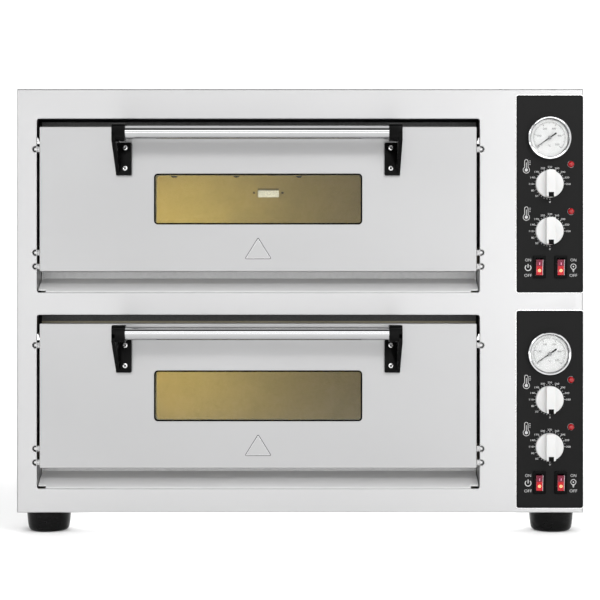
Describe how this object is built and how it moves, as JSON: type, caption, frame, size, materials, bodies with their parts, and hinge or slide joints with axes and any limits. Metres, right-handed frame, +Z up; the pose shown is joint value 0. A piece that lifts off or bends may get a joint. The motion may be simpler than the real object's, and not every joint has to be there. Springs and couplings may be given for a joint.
{
  "type": "countertop double-deck pizza oven",
  "caption": "Electric stainless oven with stacked baking decks, drop-down windowed doors, chrome bar handles and black control panels with a gauge, knobs and rocker switches.",
  "frame": {"origin": "on the table, under the middle of the oven's overall box", "axes": "+X to the right seen from the front, -Y towards the user (the doors' side), +Z up"},
  "size_m": [0.95, 0.883, 0.745],
  "materials": {
    "brushed_steel": "fine brushed stainless sheet",
    "door_steel": "satin stainless sheet",
    "liner_steel": "dull aluminised sheet",
    "element_steel": "heat-darkened tube",
    "chrome": "polished",
    "black_panel": "satin black print on sheet",
    "black_plastic": "moulded, slight sheen",
    "needle_black": "matt",
    "foot_rubber": "smooth",
    "white_plastic": "moulded",
    "red_lens": "clear red",
    "window_glass": "clear, slightly warm",
    "lamp_glass": "frosted",
    "stone": "fired refractory clay",
    "mineral_wool": "matted fibre",
    "grey_plastic": "moulded"
  },
  "bodies": {
    "casing": {"front_fascia": "brushed_steel", "base_chassis": "liner_steel", "top_cover": "brushed_steel", "left_side_panel": "brushed_steel", "right_side_panel": "brushed_steel", "rear_panel": "brushed_steel", "cable_gland": "black_plastic", "insulation_jacket": "mineral_wool", "front_left_foot": "foot_rubber", "front_right_foot": "foot_rubber", "rear_left_foot": "foot_rubber", "rear_right_foot": "foot_rubber", "lower_chamber_liner": "liner_steel", "lower_sill_plate": "brushed_steel", "lower_baking_stone": "stone", "lower_top_heating_element": "element_steel", "lower_bottom_heating_element": "element_steel", "lower_chamber_lamp": "lamp_glass", "lower_control_panel": "black_panel", "lower_gauge_case": "chrome", "lower_top_heat_pilot_light": "red_lens", "lower_bottom_heat_pilot_light": "red_lens", "lower_thermostats": "grey_plastic", "lower_power_switch_housing": "black_plastic", "lower_light_switch_housing": "black_plastic", "upper_chamber_liner": "liner_steel", "upper_sill_plate": "brushed_steel", "upper_baking_stone": "stone", "upper_top_heating_element": "element_steel", "upper_bottom_heating_element": "element_steel", "upper_chamber_lamp": "lamp_glass", "upper_control_panel": "black_panel", "upper_gauge_case": "chrome", "upper_top_heat_pilot_light": "red_lens", "upper_bottom_heat_pilot_light": "red_lens", "upper_thermostats": "grey_plastic", "upper_power_switch_housing": "black_plastic", "upper_light_switch_housing": "black_plastic"},
    "lower_door": {"lower_door_shell": "door_steel", "lower_door_inner_panel": "liner_steel", "lower_door_glass": "window_glass", "lower_handle_bar": "chrome", "lower_handle_left_bracket": "black_plastic", "lower_handle_right_bracket": "black_plastic"},
    "lower_gauge_needle": {"lower_gauge_needle": "needle_black"},
    "lower_top_heat_knob": {"lower_top_heat_knob": "white_plastic"},
    "lower_bottom_heat_knob": {"lower_bottom_heat_knob": "white_plastic"},
    "lower_power_rocker": {"lower_power_rocker": "red_lens"},
    "lower_light_rocker": {"lower_light_rocker": "red_lens"},
    "upper_door": {"upper_door_shell": "door_steel", "upper_door_inner_panel": "liner_steel", "upper_door_glass": "window_glass", "upper_handle_bar": "chrome", "upper_handle_left_bracket": "black_plastic", "upper_handle_right_bracket": "black_plastic"},
    "upper_gauge_needle": {"upper_gauge_needle": "needle_black"},
    "upper_top_heat_knob": {"upper_top_heat_knob": "white_plastic"},
    "upper_bottom_heat_knob": {"upper_bottom_heat_knob": "white_plastic"},
    "upper_power_rocker": {"upper_power_rocker": "red_lens"},
    "upper_light_rocker": {"upper_light_rocker": "red_lens"}
  },
  "joints": [
    {"name": "lower_door_hinge", "type": "hinge", "parent": "casing", "child": "lower_door", "pos_m": [-0.07, -0.3535, 0.1179], "axis": [1, 0, 0], "range_deg": [0, 90], "stiffness_Nm_per_rad": 3, "springref_deg": -57.3},
    {"name": "lower_needle_turn", "type": "hinge", "parent": "casing", "child": "lower_gauge_needle", "pos_m": [0.4173, -0.379, 0.301], "axis": [0, 1, 0], "range_deg": [-5, 255]},
    {"name": "lower_top_heat_turn", "type": "hinge", "parent": "casing", "child": "lower_top_heat_knob", "pos_m": [0.4173, -0.3805, 0.224], "axis": [0, 1, 0], "range_deg": [0, 270]},
    {"name": "lower_bottom_heat_turn", "type": "hinge", "parent": "casing", "child": "lower_bottom_heat_knob", "pos_m": [0.4173, -0.3805, 0.145], "axis": [0, 1, 0], "range_deg": [0, 270]},
    {"name": "lower_power_rock", "type": "hinge", "parent": "casing", "child": "lower_power_rocker", "pos_m": [0.4008, -0.3705, 0.0851], "axis": [-1, 0, 0], "range_deg": [0, 16]},
    {"name": "lower_light_rock", "type": "hinge", "parent": "casing", "child": "lower_light_rocker", "pos_m": [0.4367, -0.3705, 0.0851], "axis": [-1, 0, 0], "range_deg": [0, 16]},
    {"name": "upper_door_hinge", "type": "hinge", "parent": "casing", "child": "upper_door", "pos_m": [-0.07, -0.3535, 0.4469], "axis": [1, 0, 0], "range_deg": [0, 90], "stiffness_Nm_per_rad": 3, "springref_deg": -57.3},
    {"name": "upper_needle_turn", "type": "hinge", "parent": "casing", "child": "upper_gauge_needle", "pos_m": [0.4173, -0.379, 0.662], "axis": [0, 1, 0], "range_deg": [-5, 255]},
    {"name": "upper_top_heat_turn", "type": "hinge", "parent": "casing", "child": "upper_top_heat_knob", "pos_m": [0.4173, -0.3805, 0.585], "axis": [0, 1, 0], "range_deg": [0, 270]},
    {"name": "upper_bottom_heat_turn", "type": "hinge", "parent": "casing", "child": "upper_bottom_heat_knob", "pos_m": [0.4173, -0.3805, 0.506], "axis": [0, 1, 0], "range_deg": [0, 270]},
    {"name": "upper_power_rock", "type": "hinge", "parent": "casing", "child": "upper_power_rocker", "pos_m": [0.4008, -0.3705, 0.4461], "axis": [-1, 0, 0], "range_deg": [0, 16]},
    {"name": "upper_light_rock", "type": "hinge", "parent": "casing", "child": "upper_light_rocker", "pos_m": [0.4367, -0.3705, 0.4461], "axis": [-1, 0, 0], "range_deg": [0, 16]}
  ]
}
